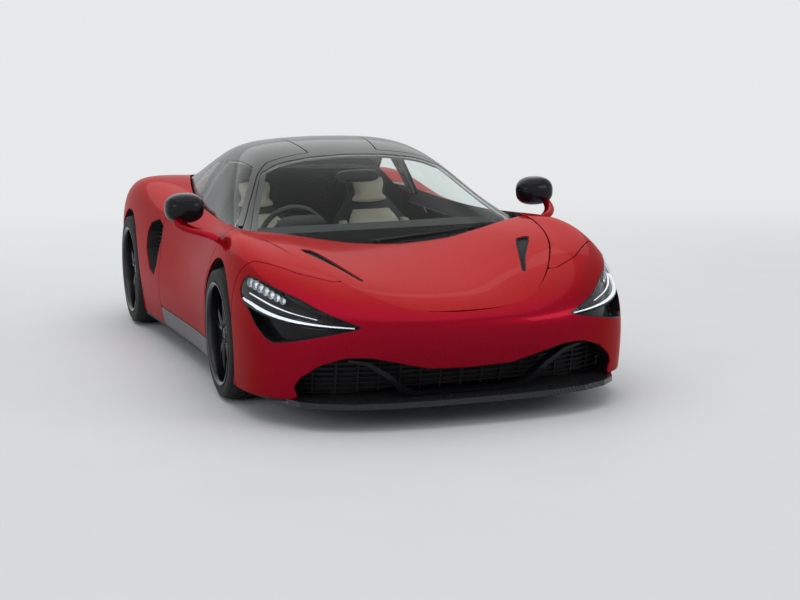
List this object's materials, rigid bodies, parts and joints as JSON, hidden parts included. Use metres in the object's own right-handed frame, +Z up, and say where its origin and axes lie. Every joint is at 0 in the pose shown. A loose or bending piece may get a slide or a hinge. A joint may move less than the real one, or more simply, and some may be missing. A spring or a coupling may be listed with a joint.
{
  "type": "supercar",
  "caption": "Low two-seat mid-engined sports car with upward-swinging doors, deep teardrop lamp sockets, front luggage lid, tilting air brake and full cabin.",
  "frame": {"origin": "on the floor below the middle of the car's length and width", "axes": "+X forward to the nose, +Y to the car's left, +Z up"},
  "size_m": [4.5411, 2.166, 1.1959],
  "materials": {
    "red_paint": "deep candy red under clear lacquer",
    "gloss_black": "gloss black",
    "satin_black": "satin black",
    "carbon": "woven carbon fibre",
    "glazing": "clear, faintly green",
    "lamp_light": "clear lens over white light guide",
    "metal": "cast aluminium",
    "exhaust_metal": "brushed steel",
    "tyre_rubber": "black rubber",
    "wheel_alloy": "dark gloss alloy",
    "leather_cream": "cream leather",
    "trim_black": "soft black trim"
  },
  "bodies": {
    "body": {"front_bumper": "red_paint", "wings": "red_paint", "sills": "gloss_black", "quarters": "red_paint", "rear_fascia": "red_paint", "scuttle": "satin_black", "roof_frame": "gloss_black", "glazing": "glazing", "engine_cover": "gloss_black", "lamp_sockets": "gloss_black", "lamps": "lamp_light", "splitter": "satin_black", "strakes": "gloss_black", "grilles": "satin_black", "undertray": "satin_black", "tub": "carbon", "engine": "metal", "radiators": "satin_black", "exhaust": "exhaust_metal", "diffuser": "satin_black", "seat_shells": "trim_black", "seat_cushions": "leather_cream", "dashboard": "trim_black", "wipers": "satin_black", "luggage_bin": "satin_black", "subframes": "metal", "wheel_wells": "satin_black", "suspension": "metal"},
    "bonnet_lid": {"bonnet": "red_paint", "bonnet_vents": "gloss_black"},
    "air_brake_flap": {"air_brake": "gloss_black"},
    "steering": {"steering_wheel": "trim_black"},
    "door_body_left": {"door_left": "red_paint", "door_frame_left": "gloss_black", "door_glass_left": "glazing", "mirror_left": "red_paint"},
    "hub_left": {"upright_left": "metal"},
    "front_wheel_body_left": {"front_tyre_left": "tyre_rubber", "front_wheel_left": "wheel_alloy"},
    "rear_wheel_body_left": {"rear_tyre_left": "tyre_rubber", "rear_wheel_left": "wheel_alloy"},
    "door_body_right": {"door_right": "red_paint", "door_frame_right": "gloss_black", "door_glass_right": "glazing", "mirror_right": "red_paint"},
    "hub_right": {"upright_right": "metal"},
    "front_wheel_body_right": {"front_tyre_right": "tyre_rubber", "front_wheel_right": "wheel_alloy"},
    "rear_wheel_body_right": {"rear_tyre_right": "tyre_rubber", "rear_wheel_right": "wheel_alloy"}
  },
  "joints": [
    {"name": "door_left", "type": "hinge", "parent": "body", "child": "door_body_left", "pos_m": [0.983, 0.897, 0.778], "axis": [0.6562, 0.6771, -0.3329], "range_deg": [0, 70]},
    {"name": "steer_left", "type": "hinge", "parent": "body", "child": "hub_left", "pos_m": [1.1915, 0.78, 0.327], "axis": [0, 0, 1], "range_deg": [-28, 28]},
    {"name": "front_wheel_spin_left", "type": "hinge", "parent": "hub_left", "child": "front_wheel_body_left", "pos_m": [1.1915, 0.837, 0.327], "axis": [0, 1, 0], "continuous": true},
    {"name": "rear_wheel_spin_left", "type": "hinge", "parent": "body", "child": "rear_wheel_body_left", "pos_m": [-1.4785, 0.8145, 0.346], "axis": [0, 1, 0], "continuous": true},
    {"name": "door_right", "type": "hinge", "parent": "body", "child": "door_body_right", "pos_m": [0.983, -0.897, 0.778], "axis": [-0.6562, 0.6771, 0.3329], "range_deg": [0, 70]},
    {"name": "steer_right", "type": "hinge", "parent": "body", "child": "hub_right", "pos_m": [1.1915, -0.78, 0.327], "axis": [0, 0, 1], "range_deg": [-28, 28]},
    {"name": "front_wheel_spin_right", "type": "hinge", "parent": "hub_right", "child": "front_wheel_body_right", "pos_m": [1.1915, -0.837, 0.327], "axis": [0, 1, 0], "continuous": true},
    {"name": "rear_wheel_spin_right", "type": "hinge", "parent": "body", "child": "rear_wheel_body_right", "pos_m": [-1.4785, -0.8145, 0.346], "axis": [0, 1, 0], "continuous": true},
    {"name": "bonnet_hinge", "type": "hinge", "parent": "body", "child": "bonnet_lid", "pos_m": [1, 0, 0.798], "axis": [0, -1, 0], "range_deg": [0, 60]},
    {"name": "air_brake_tilt", "type": "hinge", "parent": "body", "child": "air_brake_flap", "pos_m": [-2.03, 0, 0.897], "axis": [0, 1, 0], "range_deg": [0, 40]},
    {"name": "steering_wheel_turn", "type": "hinge", "parent": "body", "child": "steering", "pos_m": [0.33, -0.35, 0.7], "axis": [-0.9135, 0, 0.4067], "range_deg": [-400, 400]}
  ],
  "couplings": [
    {"joint": "steer_right", "follows": "steer_left", "ratio": 1},
    {"joint": "steering_wheel_turn", "follows": "steer_left", "ratio": 14}
  ]
}
